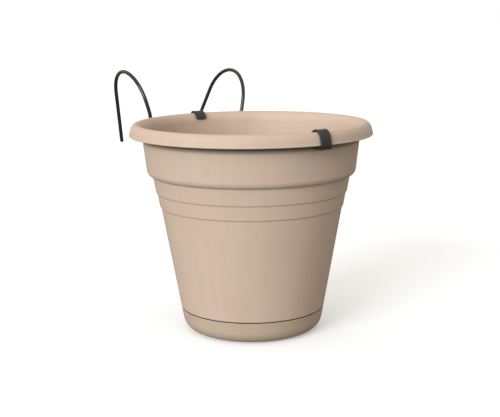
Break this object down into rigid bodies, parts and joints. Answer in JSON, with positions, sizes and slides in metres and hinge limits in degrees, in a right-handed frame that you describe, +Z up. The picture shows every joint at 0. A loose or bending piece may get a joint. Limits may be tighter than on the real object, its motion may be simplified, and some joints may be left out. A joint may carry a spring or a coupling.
{
  "type": "hanging plant pot",
  "caption": "Tapered round plant pot with rolled rim and click-on saucer, hung over a railing by a coated wire bracket with hooks and held by spring clips.",
  "frame": {"origin": "centre of the saucer's flat underside, on the pot's axis", "axes": "+Z up along the pot's axis; +Y towards the railing that the hooks go over; +X to the right seen from the front"},
  "size_m": [0.2408, 0.3316, 0.2558],
  "materials": {
    "pot_plastic": "matt moulded polypropylene, warm taupe",
    "saucer_plastic": "matt moulded polypropylene, warm taupe",
    "coated_wire": "steel wire with a smooth black plastic coating, satin",
    "clip_plastic": "satin moulded nylon, dark grey"
  },
  "bodies": {
    "pot": {"pot": "pot_plastic"},
    "saucer": {"saucer": "saucer_plastic"},
    "bracket": {"bracket_ring": "coated_wire", "hook_left": "coated_wire", "hook_right": "coated_wire"},
    "clip_rear": {"clip_rear": "clip_plastic"},
    "clip_front": {"clip_front": "clip_plastic"}
  },
  "joints": [
    {"name": "saucer_pull", "type": "slide", "parent": "pot", "child": "saucer", "axis": [0, 0, -1], "range_m": [0, 0.025]},
    {"name": "bracket_turn", "type": "hinge", "parent": "pot", "child": "bracket", "pos_m": [0, 0, 0.1985], "axis": [0, 0, 1], "continuous": true},
    {"name": "clip_rear_slide", "type": "hinge", "parent": "bracket", "child": "clip_rear", "pos_m": [0, 0, 0.1985], "axis": [0, 0, 1], "range_deg": [-20, 23]},
    {"name": "clip_front_slide", "type": "hinge", "parent": "bracket", "child": "clip_front", "pos_m": [0, 0, 0.1985], "axis": [0, 0, 1], "range_deg": [-119, 116]}
  ]
}
